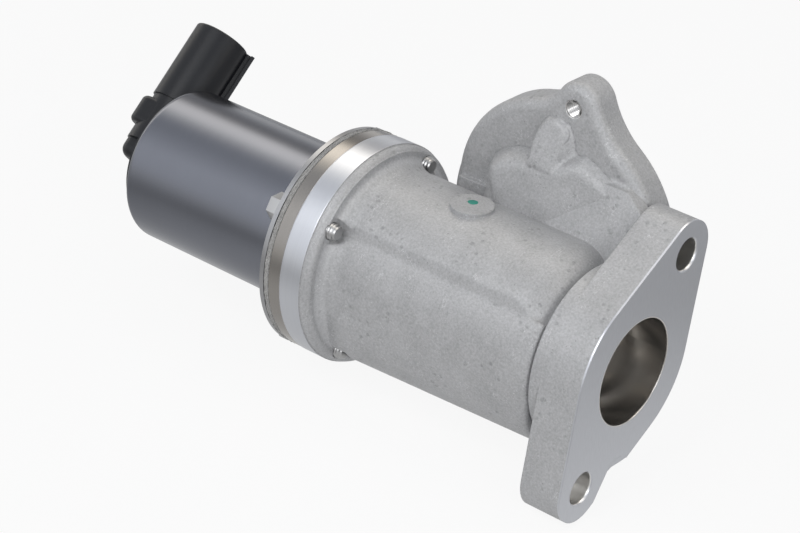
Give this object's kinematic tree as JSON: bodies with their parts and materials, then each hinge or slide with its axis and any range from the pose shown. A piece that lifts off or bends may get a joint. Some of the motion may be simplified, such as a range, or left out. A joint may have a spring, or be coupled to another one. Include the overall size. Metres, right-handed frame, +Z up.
{
  "type": "egr valve",
  "caption": "Exhaust gas recirculation valve: cast elbow housing with a poppet valve, pulled open by a solenoid in a steel can and closed by a spring.",
  "frame": {"origin": "centre of the inlet bore in the mating face of the two-hole inlet flange", "axes": "+X out of the inlet bore along the valve and solenoid axis, +Y out of the outlet bore square to the manifold flange, +Z up, towards the top bolt lobe of the manifold flange"},
  "size_m": [0.1815, 0.0673, 0.0987],
  "materials": {
    "cast_housing": "fine-grained as-cast skin, bright turned faces",
    "seat_steel": "turned stainless steel",
    "valve_steel": "ground stainless steel",
    "sheet_steel": "pressed steel",
    "bearing_bronze": "sintered bronze",
    "seal_rubber": "moulded fluoro rubber",
    "spring_steel": "bright spring steel",
    "spacer_alloy": "machined, brownish grey",
    "gasket_fibre": "speckled fibre sheet",
    "screw_steel": "zinc plated steel",
    "can_steel": "satin drawn steel",
    "magnet_iron": "turned soft iron",
    "bobbin_plastic": "moulded glass-filled nylon",
    "copper_wire": "enamelled copper wire",
    "terminal_brass": "tin plated brass",
    "connector_plastic": "moulded nylon, soft sheen"
  },
  "bodies": {
    "housing": {"valve_housing": "cast_housing", "seat_ring": "seat_steel", "stem_shield": "sheet_steel", "stem_bushing": "bearing_bronze", "stem_seal": "seal_rubber", "seal_washer": "sheet_steel", "return_spring": "spring_steel", "spacer_plate": "spacer_alloy", "flange_gasket": "gasket_fibre", "mounting_plate": "sheet_steel", "flange_screws": "screw_steel", "solenoid_can": "can_steel", "guide_sleeve": "sheet_steel", "front_flux_plate": "magnet_iron", "rear_flux_plate": "magnet_iron", "coil_bobbin": "bobbin_plastic", "coil_winding": "copper_wire", "pole_core": "magnet_iron", "pole_shim": "bearing_bronze", "wave_washer": "spring_steel", "terminals": "terminal_brass", "connector_housing": "connector_plastic", "cap_ring": "seal_rubber"},
    "valve": {"valve_disc": "valve_steel", "valve_stem": "valve_steel", "stem_clip": "spring_steel", "spring_retainer": "sheet_steel", "armature": "magnet_iron"}
  },
  "joints": [
    {"name": "valve_lift", "type": "slide", "parent": "housing", "child": "valve", "axis": [-1, 0, 0], "range_m": [0, 0.006], "stiffness_N_per_m": 1500, "springref_m": -0.006, "deforming": ["return_spring"]}
  ]
}
